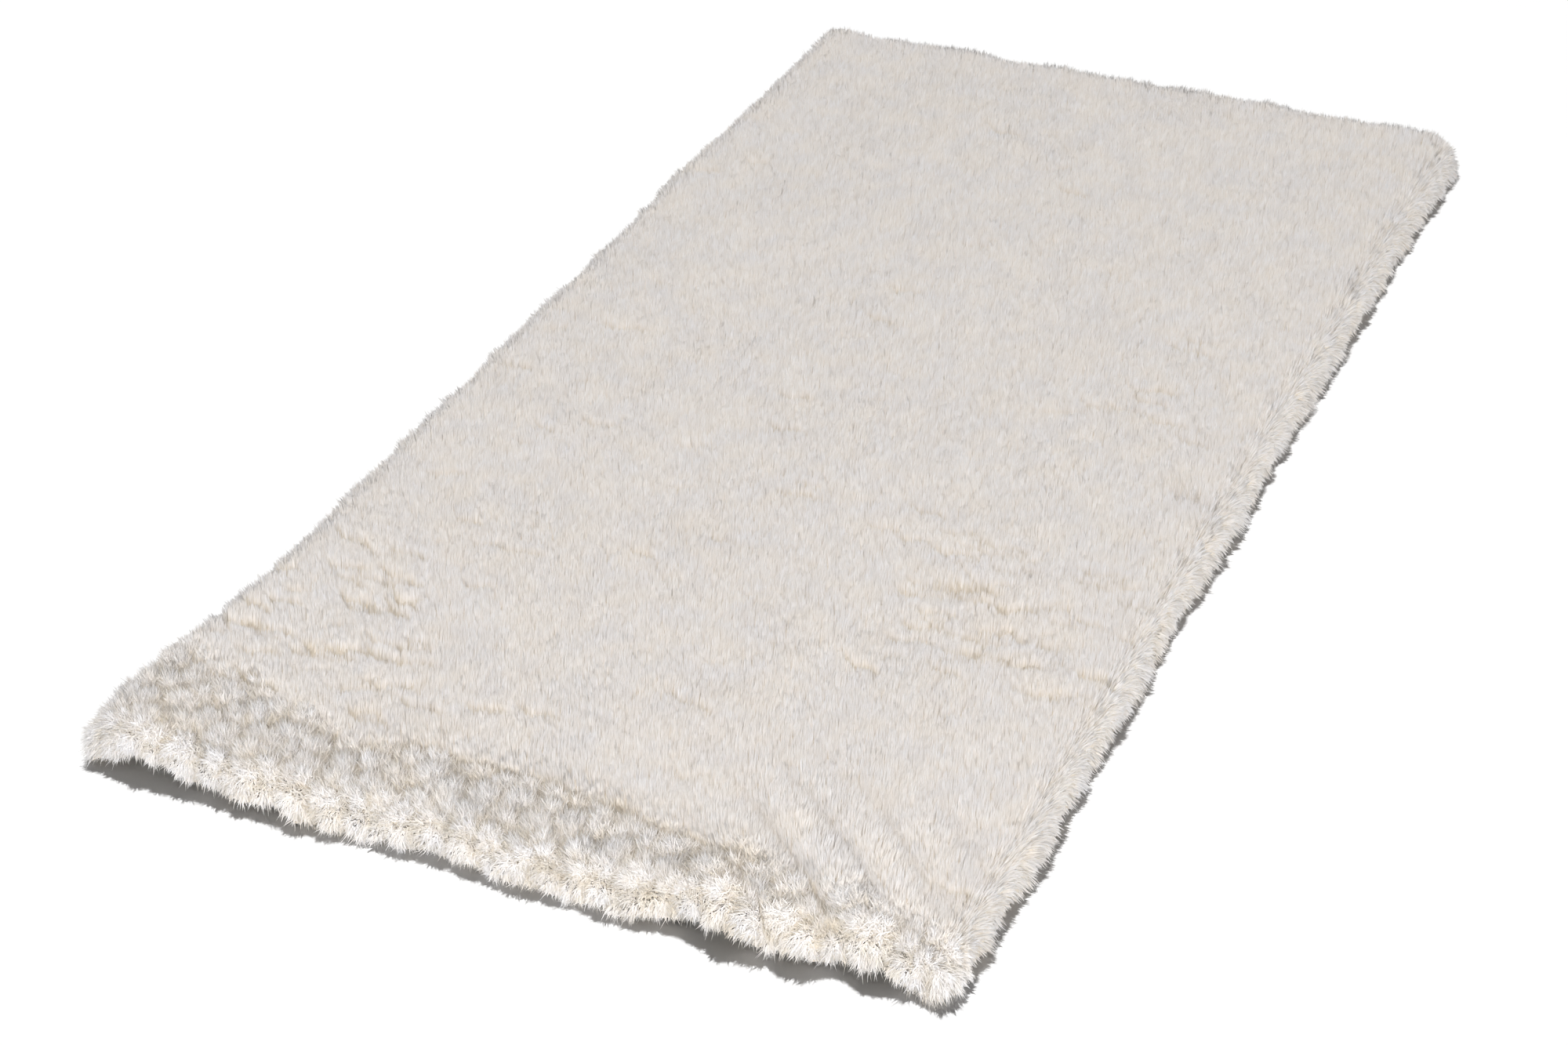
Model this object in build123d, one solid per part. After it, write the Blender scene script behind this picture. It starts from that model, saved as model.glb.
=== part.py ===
"""Deep-pile bath mat: lengthwise rows of cut tufts on a backed, overlocked base cloth.

Millimetres. +Z up, +Y along the mat's length. The origin is the middle of the underside,
on the floor. The layers, from the floor up, are the anti-slip backing, the latex coat that
locks the tufts, the woven base cloth and the pile.
"""
from build123d import *
from math import sqrt
import os

# Driving dimensions
MAT_WIDTH = 600.0          # across the pile, at its tips
MAT_LENGTH = 1200.0        # along the pile, at its tips
MAT_THICKNESS = 36.0       # floor to pile tips
CORNER_RADIUS = 30.0       # outline of the pile tips

BACKING_THICKNESS = 1.5
COAT_THICKNESS = 0.8
CLOTH_THICKNESS = 1.0

PILE_OVERHANG = 8.0        # tips of the outer tufts past the overlocked edge
THREAD_WIDTH = 2.0         # overlock thread outside the cloth's cut edge
LIP_WIDTH = 4.0            # overlock thread under the cloth, inwards from its cut edge
LIP_THICKNESS = 0.4
NEEDLE_LINE_WIDTH = 0.6    # the needle thread's line along the lip's inner side
BACKING_MARGIN = 5.0       # bare coat between the cloth's cut edge and the backing

TUFT_GAUGE = 4.0           # spacing of the tuft rows at their tips
ROWS_PER_BAND = 10
ROW_GAP = 0.2              # air between two rows

# Heights of the layers
COAT_BOTTOM = BACKING_THICKNESS
CLOTH_BOTTOM = COAT_BOTTOM + COAT_THICKNESS
PILE_BOTTOM = CLOTH_BOTTOM + CLOTH_THICKNESS
LIP_BOTTOM = COAT_BOTTOM - LIP_THICKNESS

# Insets of the outlines, from the outline of the pile tips
EDGE_INSET = PILE_OVERHANG
CLOTH_INSET = EDGE_INSET + THREAD_WIDTH
LIP_INSET = CLOTH_INSET + LIP_WIDTH
NEEDLE_INSET = LIP_INSET + NEEDLE_LINE_WIDTH
BACKING_INSET = CLOTH_INSET + BACKING_MARGIN

ROW_COUNT = round(MAT_WIDTH / TUFT_GAUGE)
BAND_COUNT = ROW_COUNT // ROWS_PER_BAND


def slab(inset, bottom, top):
    """A plate of the mat's own outline, moved in by inset, between two heights."""
    outline = RectangleRounded(MAT_WIDTH - 2 * inset, MAT_LENGTH - 2 * inset, CORNER_RADIUS - inset)
    return Pos(0, 0, bottom) * extrude(outline, top - bottom)


def ring(outer_inset, inner_inset, bottom, top):
    """A flat band that runs round the mat between two insets."""
    return slab(outer_inset, bottom, top) - slab(inner_inset, bottom, top)


def anti_slip_backing():
    """Rubber coating that the mat stands on; it stops short of the overlock stitches."""
    return slab(BACKING_INSET, 0, BACKING_THICKNESS)


def latex_precoat():
    """Latex that holds the feet of the tufts to the underside of the cloth."""
    return slab(CLOTH_INSET, COAT_BOTTOM, CLOTH_BOTTOM)


def base_cloth():
    """Woven cloth that every tuft is stitched through."""
    return slab(CLOTH_INSET, CLOTH_BOTTOM, PILE_BOTTOM)


def overlock_looper_threads():
    """The two looper threads: round the cut edge and back under the coat."""
    wrap = ring(EDGE_INSET, CLOTH_INSET, LIP_BOTTOM, PILE_BOTTOM)
    lip = ring(CLOTH_INSET, LIP_INSET, LIP_BOTTOM, COAT_BOTTOM)
    return wrap + lip


def overlock_needle_thread():
    """The needle thread, which ties the loopers down along the inside of the lip."""
    return ring(LIP_INSET, NEEDLE_INSET, LIP_BOTTOM, COAT_BOTTOM)


def half_length_at(x, inset):
    """Half the outline's length on the line at x, shorter within the corner arcs."""
    radius = CORNER_RADIUS - inset
    half_length = MAT_LENGTH / 2 - inset
    into_corner = abs(x) - (MAT_WIDTH / 2 - inset - radius)
    if into_corner <= 0:
        return half_length
    return half_length - radius + sqrt(radius**2 - into_corner**2)


def tuft_row(index):
    """One needle's row of cut tufts: upright in the middle, fanned outwards near the edges."""
    from_middle = index - (ROW_COUNT - 1) / 2
    tip_x = from_middle * TUFT_GAUGE
    foot_gauge = (MAT_WIDTH - 2 * PILE_OVERHANG) / ROW_COUNT
    foot_x = from_middle * foot_gauge
    foot = Rectangle(foot_gauge - ROW_GAP, 2 * half_length_at(foot_x, EDGE_INSET))
    tip = Rectangle(TUFT_GAUGE - ROW_GAP, 2 * half_length_at(tip_x, 0))
    return loft([Pos(foot_x, 0, PILE_BOTTOM) * foot, Pos(tip_x, 0, MAT_THICKNESS) * tip], ruled=True)


def pile_band(band):
    """A band of neighbouring tuft rows, each row its own solid."""
    first = band * ROWS_PER_BAND
    return Compound(children=[tuft_row(index) for index in range(first, first + ROWS_PER_BAND)])


def build():
    """Every sub-part by name."""
    parts = {
        "anti_slip_backing": anti_slip_backing(),
        "latex_precoat": latex_precoat(),
        "base_cloth": base_cloth(),
        "overlock_looper_threads": overlock_looper_threads(),
        "overlock_needle_thread": overlock_needle_thread(),
    }
    for band in range(BAND_COUNT):
        parts[f"pile_rows_{band + 1:02d}"] = pile_band(band)
    return parts


os.makedirs("parts", exist_ok=True)
for node, shape in build().items():
    export_step(shape, f"parts/{node}.step")
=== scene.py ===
"""Deep-pile bath mat: a pile of separate strands on a backed, overlocked base cloth, in a pale studio."""

import bpy
import numpy as np
from mathutils import Matrix, Vector


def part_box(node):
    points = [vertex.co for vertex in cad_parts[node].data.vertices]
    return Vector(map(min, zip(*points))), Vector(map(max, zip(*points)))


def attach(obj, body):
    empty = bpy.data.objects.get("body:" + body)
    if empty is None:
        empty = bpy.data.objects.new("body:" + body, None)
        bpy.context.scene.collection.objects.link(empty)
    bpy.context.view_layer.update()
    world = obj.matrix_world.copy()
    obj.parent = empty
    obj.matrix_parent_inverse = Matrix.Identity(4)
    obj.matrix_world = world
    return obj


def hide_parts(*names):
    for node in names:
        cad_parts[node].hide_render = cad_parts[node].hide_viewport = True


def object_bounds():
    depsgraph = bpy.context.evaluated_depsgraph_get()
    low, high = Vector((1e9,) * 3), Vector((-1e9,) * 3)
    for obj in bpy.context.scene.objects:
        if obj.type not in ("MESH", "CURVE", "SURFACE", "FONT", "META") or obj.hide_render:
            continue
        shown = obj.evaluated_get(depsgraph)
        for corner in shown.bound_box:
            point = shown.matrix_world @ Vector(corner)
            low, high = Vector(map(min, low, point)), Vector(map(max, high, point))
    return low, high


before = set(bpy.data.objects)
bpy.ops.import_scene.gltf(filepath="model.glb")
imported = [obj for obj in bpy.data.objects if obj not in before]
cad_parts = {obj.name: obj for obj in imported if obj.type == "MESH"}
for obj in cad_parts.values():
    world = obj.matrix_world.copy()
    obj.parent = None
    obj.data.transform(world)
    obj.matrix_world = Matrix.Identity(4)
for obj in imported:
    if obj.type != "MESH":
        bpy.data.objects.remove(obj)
CAD_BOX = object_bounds()

# Camera: the side, height and distance that the mat is looked at from
VIEW_AZIMUTH = 24.54
VIEW_ELEVATION = 33.05
VIEW_ROLL = -0.75
VIEW_DISTANCE = 2.305
VIEW_TARGET = (0.004, -0.180, 0.018)
LENS_MM = 73.65

# The frame's own sizes, in metres
BANDS = sorted(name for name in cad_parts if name.startswith("pile_rows_"))
PILE_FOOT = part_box("base_cloth")[1][2]
PILE_DEPTH = CAD_BOX[1][2] - PILE_FOOT
EDGE_X, EDGE_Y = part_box("overlock_looper_threads")[1][:2]
EDGE_RADIUS = 0.022

# Pile. Its tips lie on a surface that is flat over the field and rolls down over the edge.
# A place on that surface is given unrolled, as x and y on one plane.
FINE_STEP = 0.0011
STRAND_STEP = FINE_STEP
STRAND_SIDES = 3
THINNEST, THICKEST = 0.00070, 0.00105      # radii of the strands in the smooth field
STRAIGHT = ((0.56, 1.0),)                  # places along a strand, and its width there
CURLED = ((0.52, 1.0), (0.82, 0.74))
RUFFLE_LAYERS = (CURLED, CURLED, STRAIGHT)     # further strands among the ruffled ones
ROLL_START = 0.014         # how far inside the overlocked edge the pile starts to fan outwards
ROLL_ARC = 0.046           # unrolled length of the fanned pile, from the field down to the floor
ROLL_TURN = 1.72           # angle through which it fans, in radians
ROLL_OUT = 0.010           # how far its tips stand out past the overlocked edge
SMALL_CLUMP = 0.0068
LARGE_CLUMP = 0.0195
CORE_SHARE = 0.74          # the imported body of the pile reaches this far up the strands
HOLLOW_SHADE = 0.52        # how much the painted shade darkens and warms the pile down in its partings
SOFT_NORMAL = 0.80         # how much of a strand's shading follows the pile's own surface
HIGHEST_TIP = 0.0098       # the most that a tip stands above the mat's usual height
FLOOR_GAP = 0.0008
SEED = 7

# How the mat lies
RUFFLE_START = -0.522      # y where the ruffled near band begins, left of the middle
RUFFLE_SLANT = 0.21        # how fast it narrows to the right
EDGE_WAVES = ((0.012, -0.255, 0.045), (0.006, -0.17, 0.03),     # height, x of the middle, width
              (0.008, 0.14, 0.03), (0.009, 0.24, 0.022))
WAVE_REACH = 0.045         # how far in from the near edge the waves are felt
BUCKLE_HEIGHT = 0.0058
BUCKLE_PITCH = 0.036
BUCKLE_ACROSS = (0.66, 0.75)     # direction across the slanting ridges
TILT_SHARE = 0.35          # how far the pile follows the slope of a buckled base
PILE_SQUASH = 0.45         # how much of a raised edge the pile above it takes up
CORNER_FLARE = 0.013       # how far the left side stands out near its near corner

# Partings across the pile: middle x and y, spread in x and y, and how many
CREASE_PATCHES = ((0.205, -0.245, 0.080, 0.075, 60), (-0.235, -0.375, 0.06, 0.045, 18),
                  (-0.20, -0.47, 0.09, 0.05, 40), (0.0, -0.25, 0.28, 0.28, 70), (0.0, 0.25, 0.28, 0.3, 30))
CREASE_HALF = 0.020        # half the length of the longest
CREASE_PUSH = 0.0020
CREASE_DEPTH = 0.0075
CREASE_SLOPE, CREASE_FACE = 0.0045, 0.0008     # widths of the gentle near side and the steep far side

# Base: layers, grip feet and overlock stitches
LAYER_SPACING = 0.006
GRIP_PITCH = 0.012
GRIP_RADIUS = 0.0022
GRIP_HEIGHT = 0.0005
GRIP_SIDES = 6
EDGE_STEP = 0.002          # spacing of the points that the edge is measured with
STITCH_PITCH = 0.003
THREAD_RADIUS = 0.00035
NEEDLE_RADIUS = 0.00025
NEEDLE_STEPS = 4
LOOPER_SIDES, NEEDLE_SIDES = 4, 5
# One pass of the looper thread over the edge: how far in from it, and the height as a share of half its depth
LOOPER_SECTION = ((0.0042, 1.10), (0.0016, 1.16), (-0.0002, 0.75), (-0.0007, 0.0),
                  (-0.0002, -0.80), (0.0016, -1.12), (0.0042, -1.02))

# Studio: the suns' direction, then each panel's name, power and place
SUN_FROM = (-0.28, 0.36, 1.0)
SUN_SPREAD = 2
PANELS = (("front", 86, (0.7, -2.8, 1.5)), ("right", 40, (2.8, 0.0, 1.0)), ("back", 42, (-1.2, 2.6, 1.3)),
          ("overhead", 10, (0.0, -0.5, 2.6)), ("fill", 14, (-2.0, -2.0, 1.4)))
PANEL_SIZE = (2.4, 1.6)
FLOOR_REACH = 8


def rng(*key):
    """A random generator of its own for each use, the same every run."""
    return np.random.default_rng((SEED,) + key)


def smoothstep(value, low, high):
    """0 up to low, 1 from high on, and a smooth rise between."""
    t = np.clip((value - low) / (high - low), 0, 1)
    return t * t * (3 - 2 * t)


def bump(value, middle, width):
    """1 at the middle, falling away on both sides over the width."""
    return np.exp(-(((value - middle) / width) ** 2))


def lattice_noise(x, y, size, key):
    """Smooth noise from -1 to 1 with features about size across."""
    cells = 256
    table = rng(101, key).uniform(-1, 1, (cells, cells))
    gx, gy = x / size + cells / 2, y / size + cells / 2
    ix, iy = np.floor(gx).astype(int), np.floor(gy).astype(int)
    fx, fy = gx - ix, gy - iy
    fx, fy = fx * fx * (3 - 2 * fx), fy * fy * (3 - 2 * fy)
    ix, iy, jx, jy = ix % cells, iy % cells, (ix + 1) % cells, (iy + 1) % cells
    low = table[ix, iy] * (1 - fx) + table[jx, iy] * fx
    high = table[ix, jy] * (1 - fx) + table[jx, jy] * fx
    return low * (1 - fy) + high * fy


def rounded_distance(x, y, half_x, half_y, radius):
    """Signed distance outside a rounded rectangle, and the outward direction there."""
    qx, qy = np.abs(x) - (half_x - radius), np.abs(y) - (half_y - radius)
    px, py = np.maximum(qx, 0), np.maximum(qy, 0)
    reach = np.hypot(px, py)
    distance = reach + np.minimum(np.maximum(qx, qy), 0) - radius
    nx = np.where(reach > 0, px / np.maximum(reach, 1e-9), np.where(qx > qy, 1.0, 0.0)) * np.sign(x)
    ny = np.where(reach > 0, py / np.maximum(reach, 1e-9), np.where(qx > qy, 0.0, 1.0)) * np.sign(y)
    return distance, nx, ny


# How the mat lies

def parting_line(x):
    """Where the smooth field ends and the ruffled near band begins, as y for each x."""
    left_end = 0.018 * smoothstep(-x, 0.20, 0.30)
    dip = 0.020 * bump(x, -0.13, 0.04)
    ragged = 0.007 * lattice_noise(x, 0 * x, 0.028, 20)
    return RUFFLE_START + (left_end - RUFFLE_SLANT * np.maximum(x, 0) - dip) + ragged


def fluffed(x, y):
    """1 in the ruffled band along the near edge, 0 in the smooth field."""
    softness = 0.006 + 0.022 * smoothstep(np.abs(x), 0.08, 0.25)
    return smoothstep(parting_line(x) - y, -softness, 0.012)


def edge_waves(x, y):
    """How far the wavy near edge stands off the floor."""
    edge = np.exp(-np.maximum(y + EDGE_Y, 0) / WAVE_REACH)
    return edge * sum(height * bump(x, middle, width) for height, middle, width in EDGE_WAVES)


def buckles(x, y):
    """How strongly the slanting ridges on the right of the near edge rise and sink at each place, and how
    much painted shade lies in their valleys.
    """
    across = x * BUCKLE_ACROSS[0] + y * BUCKLE_ACROSS[1] + 0.007 * lattice_noise(x, y, 0.05, 21)
    patch = bump(x, 0.19, 0.085) * smoothstep(-y, 0.42, 0.53)
    wave = 0.5 + 0.5 * np.sin(2 * np.pi * across / BUCKLE_PITCH)
    return patch * wave, patch * (1 - wave) ** 5


def base_lift(x, y):
    """How high the base layers stand above where a flat mat's would."""
    return edge_waves(x, y) + BUCKLE_HEIGHT * buckles(x, y)[0]


def settle(points, lowest=0.0):
    """Lays points of the flat mat on its true, slightly buckled and flared shape."""
    x, y, z = points[:, 0], points[:, 1], points[:, 2]
    step = 0.001
    slope_x = (base_lift(x + step, y) - base_lift(x - step, y)) / (2 * step)
    slope_y = (base_lift(x, y + step) - base_lift(x, y - step)) / (2 * step)
    flare = -CORNER_FLARE * smoothstep(-x, -0.1, 0.3) * bump(y, -0.54, 0.09)
    bow_out = 0.003 * lattice_noise(y, np.sign(x) * 0.2, 0.09, 22) - 0.004 * (x < 0)
    bow_out = bow_out * smoothstep(np.abs(x), 0.2, 0.3)
    sway = 0.004 * lattice_noise(x, np.sign(y) * 0.2, 0.06, 23)
    sway = sway + 0.003 * lattice_noise(x, np.sign(y), 0.025, 24)
    sway = (sway + 0.004 * (y > 0)) * smoothstep(np.abs(y), 0.5, 0.6)
    tilt = TILT_SHARE * z
    squash = 1 - PILE_SQUASH * z / PILE_DEPTH
    height = z + edge_waves(x, y) * squash + BUCKLE_HEIGHT * buckles(x, y)[0]
    height = np.clip(height, lowest, CAD_BOX[1][2] + HIGHEST_TIP)
    return np.stack([x - slope_x * tilt + flare + bow_out, y - slope_y * tilt + sway, height], 1)


# The pile's surface

def crease_segments():
    """Short partings across the pile, open to the near side: middles, half lengths, depths and tilts."""
    random = rng(30)
    rows = []
    for middle_x, middle_y, spread_x, spread_y, count in CREASE_PATCHES:
        for _ in range(count):
            place_x = middle_x + random.uniform(-1, 1) * spread_x
            place_y = middle_y + random.uniform(-1, 1) * spread_y
            size = random.uniform(0.3, 1.0) ** (1 if spread_x < 0.1 else 2)
            tilt = random.normal(-0.05, 0.18)
            rows.append((place_x, place_y, CREASE_HALF * size, 0.3 + 0.7 * size, tilt))
    return rows


def creases(x, y):
    """How far the pile is pushed along Y by the partings, how deep it sinks, and how much painted shade lies
    along each parting line.
    """
    push, sink, line = np.zeros_like(x), np.zeros_like(x), np.zeros_like(x)
    for middle_x, middle_y, half, depth, tilt in crease_segments():
        near = np.flatnonzero((np.abs(x - middle_x) < half * 2.5) & (np.abs(y - middle_y) < half * 2.5))
        along = x[near] - middle_x
        off = y[near] - middle_y - along * tilt - 0.002 * np.sin(along / 0.004)
        window = depth * np.exp(-((along / half) ** 4))
        fall = np.where(off < 0, np.exp(off / CREASE_SLOPE), np.exp(-off / CREASE_FACE))
        push[near] += CREASE_PUSH * window * np.sign(off) * np.exp(-np.abs(off) / 0.005)
        sink[near] += CREASE_DEPTH * window * fall
        # painted shade: a thin darker, warmer line along each parting
        line[near] += 1.5 * window * bump(off, -0.0002, 0.0012)
    return push, sink, line


def clump(x, y, spacing, key):
    """Vector to the middle of the clump that a place belongs to, and how far out in it that is, 0 to 1."""
    cells = 256
    gx, gy = np.floor(x / spacing).astype(int), np.floor(y / spacing).astype(int)
    offsets = rng(202, key).uniform(0.08, 0.92, (cells, cells, 2))
    best = np.full(x.shape, np.inf)
    second = np.full(x.shape, np.inf)
    bx, by = np.zeros_like(x), np.zeros_like(x)
    for dx in (-1, 0, 1):
        for dy in (-1, 0, 1):
            cell = offsets[(gx + dx) % cells, (gy + dy) % cells]
            cx, cy = (gx + dx + cell[:, 0]) * spacing, (gy + dy + cell[:, 1]) * spacing
            away = np.hypot(cx - x, cy - y)
            closer = away < best
            second = np.where(closer, best, np.minimum(second, away))
            bx, by = np.where(closer, cx, bx), np.where(closer, cy, by)
            best = np.where(closer, away, best)
    rim = 2 * best / np.maximum(best + second, 1e-9)
    return bx - x, by - y, rim


def ruffled_share(x, y, away):
    """How ruffled the pile is: in the near band, down the sides and in one small patch on the right."""
    down_sides = 0.30 * smoothstep(away, -0.006, 0.014)
    small_patch = 0.6 * bump(x + 0.5 * y, 0.2385, 0.014) * bump(y, -0.053, 0.010)
    return np.maximum(np.maximum(fluffed(x, y), down_sides), small_patch)


def turned(shift_x, shift_y, nx, ny):
    """A sideways shift as its part straight out of the mat and its part along the edge."""
    return shift_x * nx + shift_y * ny, shift_y * nx - shift_x * ny


def placed(start_x, start_y, nx, ny, out, beside, up):
    """Points that far out of the mat and along the edge from their start, at a height."""
    return np.stack([start_x + nx * out - ny * beside, start_y + ny * out + nx * beside, up], 1)


def pile_form(x, y, gather=1.0):
    """Feet, tips and surface directions of pile whose tips are at the unrolled places x, y, with the painted
    shade down in its partings.
    """
    away, nx, ny = rounded_distance(x, y, EDGE_X - ROLL_START, EDGE_Y - ROLL_START, EDGE_RADIUS - ROLL_START)
    rolled = np.maximum(away, 0)
    turn = ROLL_TURN * rolled / ROLL_ARC
    sine, cosine = np.sin(turn), np.cos(turn)
    start_x, start_y = x - nx * rolled, y - ny * rolled

    ahead = parting_line(x) - y
    fluff = ruffled_share(x, y, away)
    strong = smoothstep(x, -0.17, -0.06) * (1 - smoothstep(x, 0.12, 0.20))
    overhang = strong * bump(ahead, -0.005, 0.008)
    ditch = strong * bump(ahead, 0.004, 0.005)
    warp_x, warp_y = 0.004 * lattice_noise(x, y, 0.012, 12), 0.004 * lattice_noise(x, y, 0.012, 13)
    small_x, small_y, small_rim = clump(x, y, SMALL_CLUMP, 1)
    large_x, large_y, large_rim = clump(x + warp_x, y + warp_y, LARGE_CLUMP, 2)
    push, sink, line = creases(x, y)

    # tips: spread evenly, drawn into small locks, pushed apart at partings
    shift_x = 0.22 * small_x * (1 - 0.5 * fluff)
    shift_y = 0.22 * small_y * (1 - 0.5 * fluff) + push - 0.005 * overhang
    across, beside = turned(shift_x, shift_y, nx, ny)
    rise = 0.0010 * lattice_noise(x, y, 0.08, 7) + 0.0010 * lattice_noise(x, y, 0.022, 8)
    rise = rise + 0.0009 * lattice_noise(x, y / 1.8, 0.0045, 9)
    rise = rise - (0.0008 + 0.0034 * fluff) * small_rim ** 2 - 0.0050 * fluff * large_rim ** 2.5
    rise = rise - sink - 0.006 * ditch + 0.0015 * overhang
    scallops = 0.0032 * lattice_noise(x, y, 0.016, 15) + 0.0022 * lattice_noise(x, y, 0.0075, 16)
    rise = rise + scallops * smoothstep(away, 0, 0.03)
    squareness = 1 + np.where(y < 0, 0.36, 0.20) * (2 * nx * ny) ** 2
    out = (ROLL_START + ROLL_OUT) * squareness * sine + rise * sine + across * cosine
    up = PILE_FOOT + PILE_DEPTH * cosine + rise * cosine - across * sine
    tip = placed(start_x, start_y, nx, ny, out, beside, up)

    # feet: behind the tips by the nap, and drawn in under the middle of each clump
    upright = np.clip(cosine, 0, 1)
    nap_x = 0.0010 * lattice_noise(x, y, 0.06, 3) + 0.0010 * lattice_noise(x, y, 0.022, 4)
    nap_y = 0.0035 * (1 - fluff)
    nap_y = nap_y + 0.0008 * lattice_noise(x, y, 0.07, 5) + 0.0010 * lattice_noise(x, y, 0.025, 6)
    draw_x = gather * fluff * (0.50 * large_x + 0.60 * small_x) - nap_x * upright
    draw_y = gather * fluff * (0.50 * large_y + 0.60 * small_y) - nap_y * upright
    foot_across, foot_beside = turned(draw_x, draw_y, nx, ny)
    foot_out = ROLL_START * np.minimum(turn / (np.pi / 2), 1) * 0.9
    foot_out = foot_out + foot_across * np.where(away > 0, ROLL_START / ROLL_ARC, 1)
    foot = placed(start_x, start_y, nx, ny, foot_out, foot_beside, np.full(x.size, PILE_FOOT))

    # the surface's own direction, rounded over each clump
    swell = 1.3 * fluff * large_rim / LARGE_CLUMP
    fine_swell = (0.25 + 0.9 * fluff) * small_rim / SMALL_CLUMP
    lean_x = -large_x * swell - small_x * fine_swell
    lean_y = -large_y * swell - small_y * fine_swell
    across, beside = turned(lean_x, lean_y, nx, ny)
    normal = placed(0, 0, nx, ny, sine + across * cosine, beside, cosine - across * sine)
    normal = normal / np.linalg.norm(normal, axis=1, keepdims=True)
    # painted shade: darker, warmer colour in the buckles' valleys, along the crease lines, between ruffled
    # clumps and in the ditch at the parting
    valley_shade = 0.55 * buckles(x, y)[1]
    shade_between_clumps = fluff * (0.9 * large_rim ** 6 + 0.45 * small_rim ** 4)
    painted_shade = np.clip(line + valley_shade + shade_between_clumps + 0.8 * ditch, 0, 1)
    return foot, tip, normal, fluff, turn, painted_shade


def tip_places():
    """Evenly scattered unrolled places for the tips, one in each small square."""
    half_x, half_y = EDGE_X - ROLL_START + ROLL_ARC, EDGE_Y - ROLL_START + ROLL_ARC
    x, y = np.meshgrid(np.arange(-half_x, half_x, STRAND_STEP), np.arange(-half_y, half_y, STRAND_STEP))
    random = rng(1)
    x = x.ravel() + random.uniform(0, STRAND_STEP, x.size)
    y = y.ravel() + random.uniform(0, STRAND_STEP, y.size)
    inside = rounded_distance(x, y, half_x, half_y, EDGE_RADIUS - ROLL_START + ROLL_ARC)[0] < 0
    return x[inside], y[inside]


def strand_curves(x, y, key):
    """The curves of the strands with tips at x, y, with their widths, colour values (tone with painted light,
    and painted shade) and directions.
    """
    foot, tip, normal, fluff, turn, painted_shade = pile_form(x, y)
    random = rng(2, key)
    count = x.size
    loose = 0.0005 + 0.0004 * fluff
    tip = tip + random.normal(0, 1, (count, 3)) * loose[:, None]
    uneven = 0.0006 + 0.0008 * fluff + 0.0012 * np.clip(np.sin(turn), 0, 1)
    tip = tip + normal * (np.clip(random.normal(0, 1, count), -2, 1.3) * uneven)[:, None]
    curl = np.clip(random.normal(0, 1, (count, 3)), -1.6, 1.6) * (0.0002 + 0.0020 * fluff)[:, None]
    foot = foot + random.normal(0, 0.0006, (count, 3)) * [1, 1, 0]
    bow = foot + (tip - foot) * [0.38, 0.38, 0.58]
    bow[:, 2] += 0.010 * np.clip(np.sin(turn), 0, 1) ** 2
    streak = lattice_noise(x, y / 4, 0.0018, 14)
    # painted light: strands down the rolled sides and in the ruffled band are coloured paler, as if more
    # brightly lit; the streaks and the random part are the yarn's own tone
    painted_light = 0.3 * np.clip(np.sin(turn), 0, 1) + 0.22 * fluff
    tone_and_painted_light = np.clip(0.5 + 0.3 * streak + 0.2 * random.uniform(-1, 1, count) + painted_light, 0, 1)
    radius = random.uniform(THINNEST, THICKEST, count) * (1 - 0.45 * fluff) * STRAND_STEP / FINE_STEP
    soft = SOFT_NORMAL - 0.22 * fluff
    return foot, bow, tip, curl, radius, tone_and_painted_light, painted_shade, soft, normal


def bezier(foot, bow, tip, t):
    """Places a share t of the way along curves from foot to tip that are drawn towards bow."""
    return foot * (1 - t) ** 2 + bow * 2 * t * (1 - t) + tip * t * t


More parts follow.
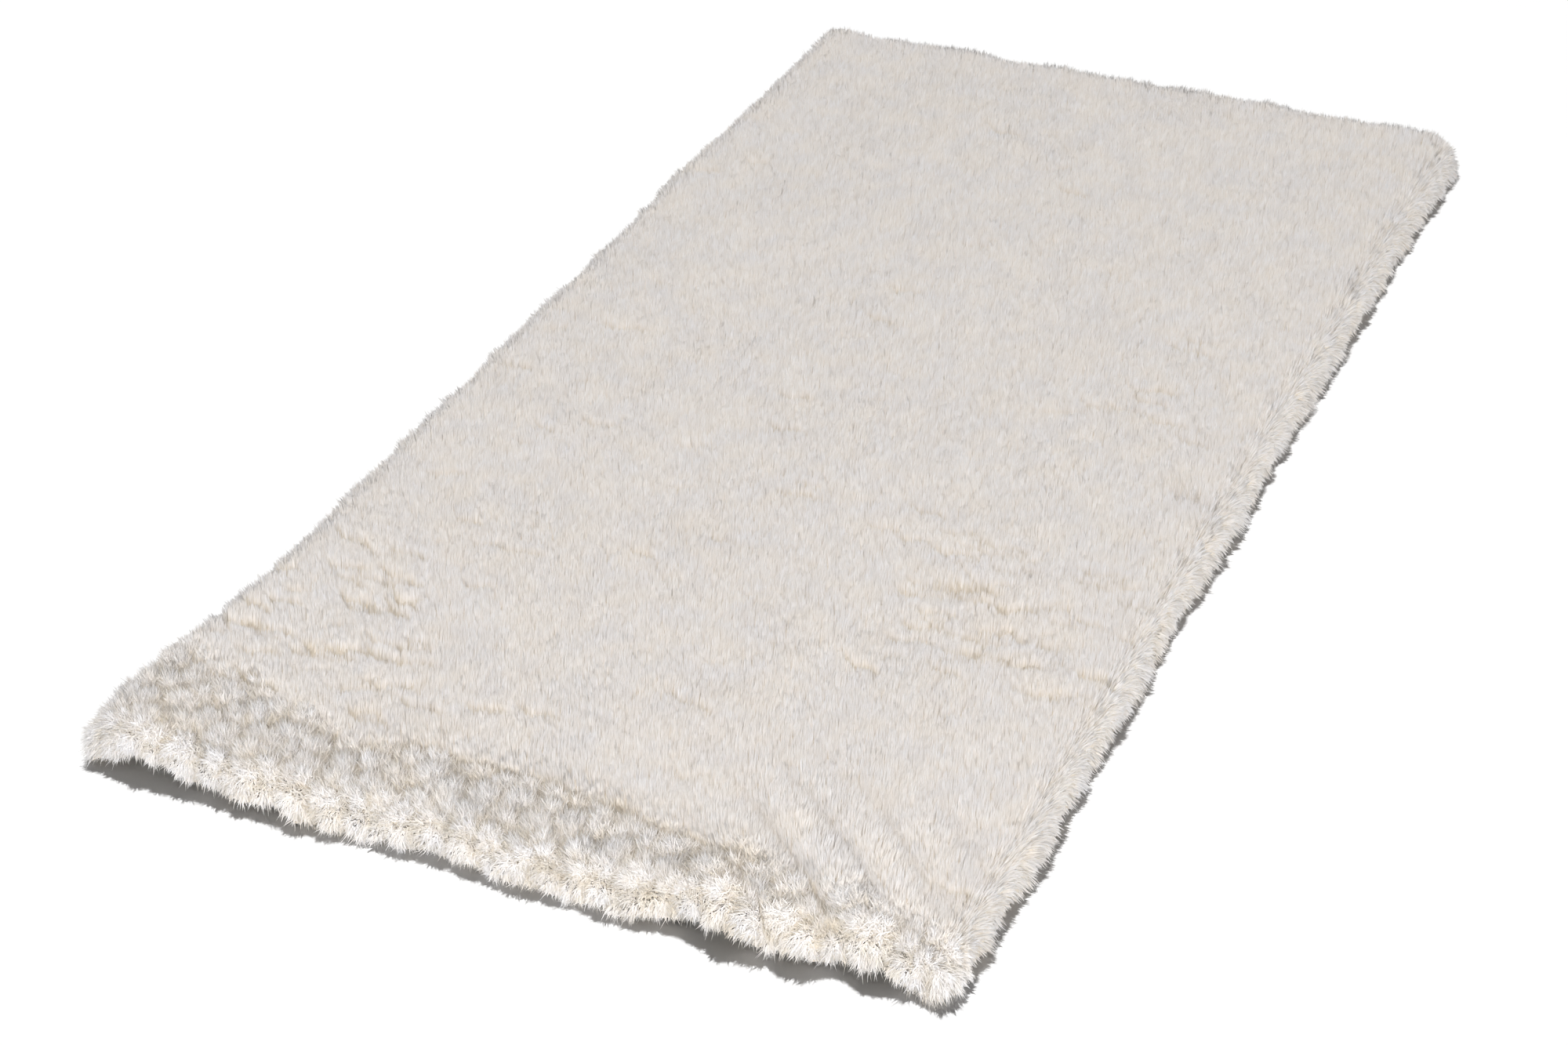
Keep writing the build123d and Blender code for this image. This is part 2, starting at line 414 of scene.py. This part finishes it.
def strand_mesh(key, foot, bow, tip, curl, radius, tone_and_painted_light, painted_shade, soft, normal, stations):
    """Vertices, faces and values of closed three-sided strands, with rings at the stations and a point."""
    # painted shade: each strand's colour value is lowered where it stands in a parting, valley or hollow
    unshaded = 1 - HOLLOW_SHADE * painted_shade
    rings = len(stations)
    count = len(radius)
    per_strand = rings * STRAND_SIDES + 1
    vertices = np.empty((count, per_strand, 3))
    normals = np.empty((count, per_strand, 3))
    along = np.empty((count, per_strand))
    spin = rng(3, key).uniform(0, 2 * np.pi, count)
    for ring, (t, width) in enumerate(stations):
        centre = bezier(foot, bow, tip, t)
        ahead = bezier(foot, bow, tip, min(t + 0.05, 1.0)) - bezier(foot, bow, tip, t - 0.05)
        ahead = ahead / np.linalg.norm(ahead, axis=1, keepdims=True)
        side = np.cross(ahead, [0.31, 0.95, 0.05])
        side = side / np.linalg.norm(side, axis=1, keepdims=True)
        other = np.cross(ahead, side)
        for corner in range(STRAND_SIDES):
            angle = spin + 2 * np.pi * corner / STRAND_SIDES
            radial = np.cos(angle)[:, None] * side + np.sin(angle)[:, None] * other
            vertices[:, ring * STRAND_SIDES + corner] = centre + (radius * width)[:, None] * radial
            mixed = normal * soft[:, None] + radial * (1 - soft)[:, None]
            normals[:, ring * STRAND_SIDES + corner] = mixed
            along[:, ring * STRAND_SIDES + corner] = t * unshaded
    vertices[:, -1] = tip + curl
    normals[:, -1] = normal
    along[:, -1] = unshaded
    quads = []
    for ring in range(rings - 1):
        low, high = ring * STRAND_SIDES, (ring + 1) * STRAND_SIDES
        for corner in range(STRAND_SIDES):
            after = (corner + 1) % STRAND_SIDES
            quads.append((low + corner, low + after, high + after, high + corner))
    last = (rings - 1) * STRAND_SIDES
    tris = [(last + c, last + (c + 1) % STRAND_SIDES, rings * STRAND_SIDES) for c in range(STRAND_SIDES)]
    tris.append(tuple(reversed(range(STRAND_SIDES))))
    start = (np.arange(count) * per_strand)[:, None, None]
    quads = (np.array(quads, dtype=int).reshape(1, -1, 4) + start).reshape(-1, 4)
    tris = (np.array(tris)[None] + start).reshape(-1, 3)
    values = np.repeat(tone_and_painted_light, per_strand)
    cells = int(np.ceil(np.sqrt(count)))
    u = np.append(np.tile((np.arange(STRAND_SIDES) + 0.5) / STRAND_SIDES, rings), 0.5)
    v = np.append(np.repeat([t for t, width in stations], STRAND_SIDES), 1.0)
    cell = np.stack([np.arange(count) % cells, np.arange(count) // cells], 1)[:, None, :]
    flat = (cell + np.stack([u, v], 1)[None] * 0.8 + 0.1) / cells
    return (vertices.reshape(-1, 3), quads, tris, along.ravel(), values, normals.reshape(-1, 3),
            flat.reshape(-1, 2))


def pulled_inside(x, y, half_x, half_y, radius):
    """Points outside a rounded rectangle, moved straight back onto it."""
    away, nx, ny = rounded_distance(x, y, half_x, half_y, radius)
    over = np.maximum(away, 0)
    return x - nx * over, y - ny * over


def slab_faces(columns, rows):
    """Quads of a closed slab: a grid of top points, then the same grid of bottom points."""
    index = np.arange(columns * rows).reshape(columns, rows)
    a, b, c, d = index[:-1, :-1], index[1:, :-1], index[1:, 1:], index[:-1, 1:]
    up = np.stack([a, b, c, d], -1).reshape(-1, 4)
    down = up[:, ::-1] + index.size
    rim = np.concatenate([index[:-1, 0], index[-1, :-1], index[:0:-1, -1], index[0, :0:-1]])
    after = np.roll(rim, -1)
    wall = np.stack([after, rim, rim + index.size, after + index.size], -1)
    return np.concatenate([up, down, wall])


def slab_flat(columns, rows):
    """Flat places for the points of a closed slab, its top on one half and its bottom on the other."""
    u, v = np.meshgrid(np.linspace(0.02, 0.48, columns), np.linspace(0.02, 0.98, rows), indexing="ij")
    top = np.stack([u.ravel(), v.ravel()], 1)
    return np.concatenate([top, top + [0.5, 0]])


def band_limits(index):
    """Unrolled x from and to of one band's tips; the outer bands reach over the rolled sides."""
    width = 2 * EDGE_X / len(BANDS)
    beyond = ROLL_ARC - ROLL_START
    low = -EDGE_X + index * width - (beyond if index == 0 else 0)
    high = -EDGE_X + (index + 1) * width + (beyond if index == len(BANDS) - 1 else 0)
    return low, high


def body_mesh(index):
    """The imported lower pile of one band, closed, that the strands stand out of."""
    low, high = band_limits(index)
    columns, rows = int(round((high - low) / 0.003)), 300
    half_x, half_y = EDGE_X - ROLL_START + ROLL_ARC, EDGE_Y - ROLL_START + ROLL_ARC
    xs, ys = np.linspace(low, high, columns), np.linspace(-half_y, half_y, rows)
    x, y = (axis.ravel() for axis in np.meshgrid(xs, ys, indexing="ij"))
    x, y = pulled_inside(x, y, half_x, half_y, EDGE_RADIUS - ROLL_START + ROLL_ARC)
    foot, tip, normal, fluff = pile_form(x, y, gather=0)[:4]
    top = foot + (tip - foot) * (CORE_SHARE + 0.07 * fluff)[:, None]
    top = top + normal * (0.0005 * lattice_noise(x, y, 0.004, 11))[:, None]
    points = np.concatenate([top, foot])
    count = len(points)
    no_tris = np.zeros((0, 3), dtype=int)
    # the body takes the warm tan of the strands' feet: painted shade deep in the pile
    along = np.concatenate([np.full(len(top), 0.5), np.full(len(foot), 0.0)])
    normals = np.concatenate([normal, np.tile([0.0, 0.0, -1.0], (len(foot), 1))])
    flat = slab_flat(columns, rows)
    return points, slab_faces(columns, rows), no_tris, along, np.full(count, 0.5), normals, flat


def mesh_piece(name, points, quads, tris, values, flat, normals=None):
    """A mesh object of quads and triangles, smooth, with named values and flat places on its points."""
    mesh = bpy.data.meshes.new(name)
    loops = np.concatenate([quads.ravel(), tris.ravel()])
    mesh.vertices.add(len(points))
    mesh.vertices.foreach_set("co", points.astype(np.float32).ravel())
    mesh.loops.add(len(loops))
    mesh.loops.foreach_set("vertex_index", loops.astype(np.int32))
    mesh.polygons.add(len(quads) + len(tris))
    starts = np.concatenate([np.arange(len(quads)) * 4, len(quads) * 4 + np.arange(len(tris)) * 3])
    mesh.polygons.foreach_set("loop_start", starts.astype(np.int32))
    mesh.update(calc_edges=True)
    mesh.polygons.foreach_set("use_smooth", np.ones(len(mesh.polygons), dtype=bool))
    mesh.uv_layers.new(name="OFBake").data.foreach_set("uv", flat[loops].astype(np.float32).ravel())
    for label, data in values.items():
        attribute = mesh.attributes.new(label, "FLOAT", "POINT")
        attribute.data.foreach_set("value", data.astype(np.float32))
    if normals is not None:
        mesh.normals_split_custom_set_from_vertices(normals)
    piece = bpy.data.objects.new(name, mesh)
    bpy.context.scene.collection.objects.link(piece)
    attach(piece, "root")
    return piece


def joined(parts):
    """Joins meshes given as points, quads, tris, along, tone with painted light, normals and flat places."""
    sizes = np.cumsum([0] + [len(part[0]) for part in parts])
    points = np.concatenate([part[0] for part in parts])
    quads = np.concatenate([part[1] + base for part, base in zip(parts, sizes)])
    tris = np.concatenate([part[2] + base for part, base in zip(parts, sizes)])
    along, tone_and_painted_light, normals = (np.concatenate([part[k] for part in parts]) for k in (3, 4, 5))
    share = 1 / len(parts)
    flat = np.concatenate([part[6] * [share, 1] + [share * k, 0] for k, part in enumerate(parts)])
    return points, quads, tris, along, tone_and_painted_light, normals, flat


def pile_piece(name, node, parts):
    """One piece of the pile, joined from its meshes and laid in its true shape."""
    points, quads, tris, along, tone_and_painted_light, normals, flat = joined(parts)
    values = {"along": along, "tone_and_painted_light": tone_and_painted_light}
    piece = mesh_piece(name, settle(points, FLOOR_GAP), quads, tris, values, flat, normals)
    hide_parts(node)
    return piece


def make_pile():
    """The pile's pieces: smooth tufts, ruffled ones along the near edge, and both again down the sides."""
    x, y = tip_places()
    away = rounded_distance(x, y, EDGE_X - ROLL_START, EDGE_Y - ROLL_START, EDGE_RADIUS - ROLL_START)[0]
    ruffled = fluffed(x, y) > 0.12
    pieces = []
    for index, node in enumerate(BANDS):
        low, high = band_limits(index)
        mine = (x >= low) & (x < high)
        side = (away >= 0) & (index in (0, len(BANDS) - 1))
        parts = {"tufts": (mine & ~ruffled & ~side, STRAIGHT), "ruffle": (mine & ruffled & ~side, CURLED)}
        if side.any():
            parts["fringe"] = (mine & ~ruffled & side, STRAIGHT)
            parts["frill"] = (mine & ruffled & side, CURLED)
        for number, (kind, (chosen, stations)) in enumerate(parts.items()):
            key = index * 4 + number
            meshes = [strand_mesh(key, *strand_curves(x[chosen], y[chosen], key), stations)]
            if kind == "tufts":
                meshes.append(body_mesh(index))
            if kind in ("ruffle", "frill"):
                for layer, shape in enumerate(RUFFLE_LAYERS):
                    again = key + 4 * len(BANDS) * (layer + 1)
                    denser = chosen & (rng(4, again).random(x.size) < 1.15 * fluffed(x, y) - 0.20)
                    meshes.append(strand_mesh(again, *strand_curves(x[denser], y[denser], again), shape))
            pieces.append(pile_piece(node.replace("rows", kind), node, meshes))
    return pieces


# The base under the pile

def layer_mesh(node, raised=0.0):
    """A thin rounded slab as large as its layer, with its underside raised a little."""
    (_, _, low), (half_x, half_y, high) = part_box(node)
    columns, rows = (int(2 * half / LAYER_SPACING) + 1 for half in (half_x, half_y))
    xs, ys = np.linspace(-half_x, half_x, columns), np.linspace(-half_y, half_y, rows)
    x, y = (axis.ravel() for axis in np.meshgrid(xs, ys, indexing="ij"))
    x, y = pulled_inside(x, y, half_x, half_y, EDGE_RADIUS)
    top = np.stack([x, y, np.full(x.size, high)], 1)
    bottom = np.stack([x, y, np.full(x.size, low + raised)], 1)
    no_tris = np.zeros((0, 3), dtype=int)
    return np.concatenate([top, bottom]), slab_faces(columns, rows), no_tris, slab_flat(columns, rows)


def grip_dots(half_x, half_y):
    """Low round feet all over the underside of the backing."""
    xs, ys = (np.arange(-half, half, GRIP_PITCH) + GRIP_PITCH / 2 for half in (half_x, half_y))
    x, y = (axis.ravel() for axis in np.meshgrid(xs, ys))
    x = x + GRIP_PITCH / 2 * (np.round(y / GRIP_PITCH).astype(int) % 2) - GRIP_PITCH / 4
    inside = rounded_distance(x, y, half_x, half_y, EDGE_RADIUS)[0] < -GRIP_RADIUS * 1.5
    x, y = x[inside], y[inside]
    angles = np.arange(GRIP_SIDES) * 2 * np.pi / GRIP_SIDES
    rings = [(GRIP_RADIUS, GRIP_HEIGHT * 1.4), (GRIP_RADIUS * 0.7, GRIP_HEIGHT * 0.15)]
    shape = [(r * np.cos(a), r * np.sin(a), z) for r, z in rings for a in angles] + [(0, 0, 0)]
    shape = np.array(shape)
    points = np.stack([x, y, 0 * x], 1)[:, None, :] + shape[None]
    start = (np.arange(x.size) * len(shape))[:, None, None]
    turns = [(c, (c + 1) % GRIP_SIDES) for c in range(GRIP_SIDES)]
    quads = np.array([(b, a, a + GRIP_SIDES, b + GRIP_SIDES) for a, b in turns])
    tris = [(b + GRIP_SIDES, a + GRIP_SIDES, 2 * GRIP_SIDES) for a, b in turns]
    tris = np.array(tris + [(0, c, c + 1) for c in range(1, GRIP_SIDES - 1)])
    flat = np.repeat(np.stack([x / (4 * half_x) + 0.25, y / (2.1 * half_y) + 0.5], 1), len(shape), axis=0)
    flat = flat + np.tile(shape[:, :2], (x.size, 1))
    quads, tris = (quads[None] + start).reshape(-1, 4), (tris[None] + start).reshape(-1, 3)
    return points.reshape(-1, 3), quads, tris, flat


def backing_mesh(node):
    """The anti-slip backing: its sheet, raised on its grip feet."""
    half_x, half_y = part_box(node)[1][:2]
    points, quads, tris, flat = layer_mesh(node, GRIP_HEIGHT)
    feet_points, feet_quads, feet_tris, feet_flat = grip_dots(half_x, half_y)
    quads = np.concatenate([quads, feet_quads + len(points)])
    tris = np.concatenate([tris, feet_tris + len(points)])
    return np.concatenate([points, feet_points]), quads, tris, np.concatenate([flat, feet_flat])


def edge_line(inset, spacing):
    """Points along the overlocked edge, inset from it, with their outward directions and lengths along it."""
    half_x, half_y, radius = EDGE_X - inset, EDGE_Y - inset, EDGE_RADIUS - inset
    straight_x, straight_y = half_x - radius, half_y - radius
    corners = [(straight_x, -straight_y, -90), (straight_x, straight_y, 0),
               (-straight_x, straight_y, 90), (-straight_x, -straight_y, 180)]
    points = []
    for number, (x, y, first) in enumerate(corners):
        steps = max(int(radius * np.pi / 2 / spacing), 2)
        for step in range(steps):
            angle = np.radians(first + 90 * step / steps)
            across, up = np.cos(angle), np.sin(angle)
            points.append((x + radius * across, y + radius * up, across, up))
        last = np.radians(first + 90)
        start = np.array([x + radius * np.cos(last), y + radius * np.sin(last)])
        after = corners[(number + 1) % 4]
        end = np.array([after[0] + radius * np.cos(last), after[1] + radius * np.sin(last)])
        count = int(np.linalg.norm(end - start) / spacing)
        for step in range(count):
            place = start + (end - start) * step / count
            points.append((place[0], place[1], np.cos(last), np.sin(last)))
    line = np.array(points)
    gaps = np.linalg.norm(np.roll(line[:, :2], -1, axis=0) - line[:, :2], axis=1)
    return line[:, :2], line[:, 2:], np.concatenate([[0], np.cumsum(gaps)])


def along_edge(inset, lengths):
    """Places and outward directions at given lengths along the edge line."""
    places, outward, marks = edge_line(inset, EDGE_STEP)
    lengths = lengths % marks[-1]
    closed = np.concatenate([places, places[:1]])
    turned = np.concatenate([outward, outward[:1]])
    place = np.stack([np.interp(lengths, marks, closed[:, k]) for k in (0, 1)], 1)
    out = np.stack([np.interp(lengths, marks, turned[:, k]) for k in (0, 1)], 1)
    return place, out / np.linalg.norm(out, axis=1, keepdims=True)


def thread_tube(path, beside, radius, sides):
    """A closed loop of thread along a path, with one radius for each point of it."""
    ahead = np.roll(path, -1, axis=0) - np.roll(path, 1, axis=0)
    ahead = ahead / np.linalg.norm(ahead, axis=1, keepdims=True)
    side = beside - ahead * np.sum(beside * ahead, axis=1, keepdims=True)
    side = side / np.linalg.norm(side, axis=1, keepdims=True)
    other = np.cross(ahead, side)
    angles = np.arange(sides) * 2 * np.pi / sides
    ring = np.cos(angles)[None, :, None] * side[:, None] + np.sin(angles)[None, :, None] * other[:, None]
    points = path[:, None] + ring * radius[:, None, None]
    index = np.arange(len(path) * sides).reshape(len(path), sides)
    after, turn = np.roll(index, -1, axis=0), np.roll(index, -1, axis=1)
    both = np.roll(after, -1, axis=1)
    quads = np.stack([index, turn, both, after], -1).reshape(-1, 4)
    columns = int(np.sqrt(len(path)))
    place = np.arange(len(path))
    flat = np.stack([place % columns, place // columns], 1)[:, None, :] / (columns + 2)
    flat = flat + np.stack([angles, angles], 1)[None] / (8 * columns)
    return points.reshape(-1, 3), quads, np.zeros((0, 3), dtype=int), flat.reshape(-1, 2)


def looper_threads(node):
    """The looper thread, laid back and forth round the cut edge, stitch after stitch."""
    (_, _, low), (_, _, high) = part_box(node)
    middle, half = (low + high) / 2, (high - low) / 2
    length = edge_line(THREAD_RADIUS, EDGE_STEP)[2][-1]
    stitches = int(length / STITCH_PITCH)
    there = np.array(LOOPER_SECTION)
    loop = np.concatenate([there, there[::-1]])
    advance = (np.arange(len(loop)) + 0.5) / len(loop)
    lengths = ((np.arange(stitches)[:, None] + advance[None]) * length / stitches).ravel()
    place, outward = along_edge(THREAD_RADIUS, lengths)
    inward = np.tile(loop[:, 0], stitches)
    height = middle + half * np.tile(loop[:, 1], stitches)
    path = np.column_stack([place - outward * inward[:, None], height])
    along = np.column_stack([-outward[:, 1], outward[:, 0], np.zeros(len(path))])
    return thread_tube(path, along, np.full(len(path), THREAD_RADIUS), LOOPER_SIDES)


def needle_thread(node):
    """The needle's line of stitches inside the edge, each one plump between its two holes."""
    (_, _, low), (half_x, _, high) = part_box(node)
    inset = EDGE_X - half_x + NEEDLE_RADIUS
    length = edge_line(inset, EDGE_STEP)[2][-1]
    stitches = int(length / STITCH_PITCH)
    steps = np.arange(stitches * NEEDLE_STEPS) / NEEDLE_STEPS
    place, outward = along_edge(inset, steps * length / stitches)
    plump = np.abs(np.sin(np.pi * (steps + 0.5 / NEEDLE_STEPS)))
    height = high - (0.3 + 0.4 * plump) * (high - low)
    path = np.column_stack([place, height])
    beside = np.column_stack([outward, np.zeros(len(path))])
    return thread_tube(path, beside, NEEDLE_RADIUS * (0.45 + 0.55 * plump), NEEDLE_SIDES)


BASE_PIECES = (   # name, CAD node, slot and what makes its mesh
    ("woven_cloth", "base_cloth", "base_cloth", layer_mesh),
    ("latex_coat", "latex_precoat", "latex_coat", layer_mesh),
    ("rubber_backing", "anti_slip_backing", "backing_rubber", backing_mesh),
    ("looper_stitches", "overlock_looper_threads", "edge_thread", looper_threads),
    ("needle_stitches", "overlock_needle_thread", "edge_thread", needle_thread))


def make_base():
    """The woven cloth, latex coat, anti-slip backing and overlocked edge."""
    made = {}
    for name, node, slot, shape in BASE_PIECES:
        points, quads, tris, flat = shape(node)
        piece = mesh_piece(name, settle(points), quads, tris, {}, flat)
        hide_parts(node)
        piece.data.materials.append(BASE_MATERIALS[slot]())
        made[name] = piece
    return list(made.values())


def new_material(name):
    material = bpy.data.materials.new(name)
    material.use_nodes = True
    nodes, links = material.node_tree.nodes, material.node_tree.links
    return material, nodes, links, nodes["Principled BSDF"]


def pile_material():
    """Cream microfibre, painted darker and warmer towards the foot as shade deep in the pile and near white
    at the tip as a painted glint, with cool and warm patches.
    """
    material, nodes, links, shader = new_material("pile_yarn")
    along = nodes.new("ShaderNodeAttribute")
    along.attribute_name = "along"
    tone_and_painted_light = nodes.new("ShaderNodeAttribute")
    tone_and_painted_light.attribute_name = "tone_and_painted_light"
    # painted shade and highlight: warm tan low in the strands and in painted partings, cream higher up,
    # near-white painted glints at the tips
    depth = nodes.new("ShaderNodeValToRGB")
    depth.color_ramp.elements[0].position = 0.45
    depth.color_ramp.elements[0].color = (0.84, 0.755, 0.64, 1)
    depth.color_ramp.elements[1].position = 1.0
    depth.color_ramp.elements[1].color = (0.97, 0.94, 0.92, 1)
    cream = depth.color_ramp.elements.new(0.80)
    cream.color = (0.945, 0.89, 0.845, 1)
    links.new(along.outputs["Fac"], depth.inputs["Fac"])
    patches = nodes.new("ShaderNodeTexNoise")
    patches.inputs["Scale"].default_value = 38
    patches.inputs["Detail"].default_value = 3
    coords = nodes.new("ShaderNodeTexCoord")
    links.new(coords.outputs["Object"], patches.inputs["Vector"])
    tint = nodes.new("ShaderNodeValToRGB")
    tint.color_ramp.elements[0].position = 0.35
    tint.color_ramp.elements[0].color = (0.955, 0.965, 0.98, 1)
    tint.color_ramp.elements[1].position = 0.65
    tint.color_ramp.elements[1].color = (1.0, 0.99, 0.965, 1)
    links.new(patches.outputs["Fac"], tint.inputs["Fac"])
    mixed = nodes.new("ShaderNodeMix")
    mixed.data_type = "RGBA"
    mixed.blend_type = "MULTIPLY"
    mixed.inputs["Factor"].default_value = 1
    links.new(depth.outputs["Color"], mixed.inputs["A"])
    links.new(tint.outputs["Color"], mixed.inputs["B"])
    # per-strand tone; the upper end of this ramp is a cool white painted glint on the paled strands
    each = nodes.new("ShaderNodeValToRGB")
    each.color_ramp.elements[0].color = (0.86, 0.84, 0.815, 1)
    each.color_ramp.elements[1].color = (1.0, 1.025, 1.06, 1)
    usual = each.color_ramp.elements.new(0.6)
    usual.color = (0.955, 0.948, 0.938, 1)
    links.new(tone_and_painted_light.outputs["Fac"], each.inputs["Fac"])
    final = nodes.new("ShaderNodeMix")
    final.data_type = "RGBA"
    final.blend_type = "MULTIPLY"
    final.inputs["Factor"].default_value = 1
    links.new(mixed.outputs["Result"], final.inputs["A"])
    links.new(each.outputs["Color"], final.inputs["B"])
    links.new(final.outputs["Result"], shader.inputs["Base Color"])
    shader.inputs["Roughness"].default_value = 0.8
    shader.inputs["Specular IOR Level"].default_value = 0.25
    shader.inputs["Sheen Weight"].default_value = 0.25
    shader.inputs["Sheen Roughness"].default_value = 0.5
    return material


def base_material(name, light, dark, roughness, pitch, bumpiness, grain):
    """A base layer: two crossed threads of a weave, or a plain grain, with blotchy colour."""
    material, nodes, links, shader = new_material(name)
    coords = nodes.new("ShaderNodeTexCoord")
    blotch = nodes.new("ShaderNodeTexNoise")
    blotch.inputs["Scale"].default_value = 60
    blotch.inputs["Detail"].default_value = 6
    links.new(coords.outputs["Object"], blotch.inputs["Vector"])
    heights = []
    for direction in ("X", "Y"):
        threads = nodes.new("ShaderNodeTexWave")
        threads.bands_direction = direction
        threads.inputs["Scale"].default_value = 1 / (np.pi * pitch)
        threads.inputs["Distortion"].default_value = grain
        threads.inputs["Detail"].default_value = 2
        links.new(coords.outputs["Object"], threads.inputs["Vector"])
        heights.append(threads)
    weave = nodes.new("ShaderNodeMath")
    weave.operation = "MULTIPLY"
    for number, threads in enumerate(heights):
        links.new(threads.outputs["Fac"], weave.inputs[number])
    colour = nodes.new("ShaderNodeMix")
    colour.data_type = "RGBA"
    colour.inputs["A"].default_value = dark
    colour.inputs["B"].default_value = light
    blend = nodes.new("ShaderNodeMath")
    blend.operation = "ADD"
    links.new(weave.outputs["Value"], blend.inputs[0])
    links.new(blotch.outputs["Fac"], blend.inputs[1])
    links.new(blend.outputs["Value"], colour.inputs["Factor"])
    links.new(colour.outputs["Result"], shader.inputs["Base Color"])
    relief = nodes.new("ShaderNodeBump")
    relief.inputs["Strength"].default_value = bumpiness
    relief.inputs["Distance"].default_value = 0.0005
    links.new(blend.outputs["Value"], relief.inputs["Height"])
    links.new(relief.outputs["Normal"], shader.inputs["Normal"])
    shader.inputs["Roughness"].default_value = roughness
    return material


def cloth_material():
    """Unbleached polyester cloth in a plain weave."""
    light, dark = (0.80, 0.76, 0.69, 1), (0.55, 0.50, 0.43, 1)
    return base_material("base_cloth", light, dark, 0.85, 0.0012, 0.8, 0.3)


def latex_material():
    """Matt cream latex, dried slightly uneven."""
    light, dark = (0.82, 0.79, 0.72, 1), (0.70, 0.66, 0.58, 1)
    return base_material("latex_coat", light, dark, 0.55, 0.006, 0.3, 6.0)


def rubber_material():
    """Pale grey-white anti-slip rubber."""
    light, dark = (0.78, 0.77, 0.74, 1), (0.62, 0.61, 0.58, 1)
    return base_material("backing_rubber", light, dark, 0.7, 0.004, 0.25, 4.0)


def thread_material():
    """Cream polyester sewing thread."""
    light, dark = (0.90, 0.86, 0.80, 1), (0.70, 0.65, 0.57, 1)
    return base_material("edge_thread", light, dark, 0.6, 0.0008, 0.5, 1.5)


BASE_MATERIALS = {"base_cloth": cloth_material, "latex_coat": latex_material,
                  "backing_rubber": rubber_material, "edge_thread": thread_material}


def make_camera():
    azimuth, elevation = np.radians(VIEW_AZIMUTH), np.radians(VIEW_ELEVATION)
    level = np.cos(elevation)
    out = Vector((np.sin(azimuth) * level, -np.cos(azimuth) * level, np.sin(elevation)))
    data = bpy.data.cameras.new("camera")
    data.lens = LENS_MM
    data.sensor_width = 36
    data.clip_start, data.clip_end = 0.05, 50
    camera = bpy.data.objects.new("camera", data)
    bpy.context.scene.collection.objects.link(camera)
    turn = out.to_track_quat("Z", "Y").to_matrix().to_4x4() @ Matrix.Rotation(np.radians(VIEW_ROLL), 4, "Z")
    camera.matrix_world = Matrix.Translation(Vector(VIEW_TARGET) + out * VIEW_DISTANCE) @ turn
    bpy.context.scene.camera = camera


def make_floor():
    mesh = bpy.data.meshes.new("floor")
    corners = [(-1, -1), (1, -1), (1, 1), (-1, 1)]
    mesh.from_pydata([(x * FLOOR_REACH, y * FLOOR_REACH, 0) for x, y in corners], [], [(0, 1, 2, 3)])
    floor = bpy.data.objects.new("floor", mesh)
    bpy.context.scene.collection.objects.link(floor)
    material, nodes, links, shader = new_material("floor")
    shader.inputs["Base Color"].default_value = (0.92, 0.92, 0.92, 1)
    shader.inputs["Roughness"].default_value = 0.7
    mesh.materials.append(material)


def make_lights(pieces):
    """A sun and soft panels for the mat, a stronger sun for the floor, and a white backdrop."""
    mat_only = bpy.data.collections.new("mat")
    for piece in pieces:
        mat_only.objects.link(piece)
    ground_only = bpy.data.collections.new("ground")
    ground_only.objects.link(bpy.data.objects["floor"])
    for label, energy, lit in (("key", 0.6, mat_only), ("ground_key", 3.5, ground_only)):
        sun = bpy.data.lights.new(label, "SUN")
        sun.energy = energy
        sun.angle = np.radians(SUN_SPREAD)
        key = bpy.data.objects.new(label, sun)
        bpy.context.scene.collection.objects.link(key)
        key.rotation_euler = Vector(SUN_FROM).to_track_quat("Z", "Y").to_euler()
        key.light_linking.receiver_collection = lit
    for label, energy, place in PANELS:
        panel = bpy.data.lights.new(label, "AREA")
        panel.shape = "RECTANGLE"
        panel.size, panel.size_y = PANEL_SIZE
        panel.energy = energy
        panel.use_shadow = label != "fill"
        fill = bpy.data.objects.new(label, panel)
        bpy.context.scene.collection.objects.link(fill)
        fill.light_linking.receiver_collection = mat_only
        fill.location = place
        fill.rotation_euler = Vector(place).to_track_quat("Z", "Y").to_euler()
    world = bpy.data.worlds.new("studio")
    bpy.context.scene.world = world
    world.use_nodes = True
    nodes, links = world.node_tree.nodes, world.node_tree.links
    surround, backdrop = nodes["Background"], nodes.new("ShaderNodeBackground")
    for background, strength in ((surround, 0.08), (backdrop, 1.0)):
        background.inputs["Color"].default_value = (1, 1, 1, 1)
        background.inputs["Strength"].default_value = strength
    seen, chosen = nodes.new("ShaderNodeLightPath"), nodes.new("ShaderNodeMixShader")
    links.new(seen.outputs["Is Camera Ray"], chosen.inputs[0])
    links.new(surround.outputs[0], chosen.inputs[1])
    links.new(backdrop.outputs[0], chosen.inputs[2])
    links.new(chosen.outputs[0], nodes["World Output"].inputs["Surface"])
    bpy.context.scene.view_settings.view_transform = "Standard"


make_camera()
make_floor()
yarn = pile_material()
pile = make_pile()
for piece in pile:
    piece.data.materials.append(yarn)
make_lights(pile + make_base())
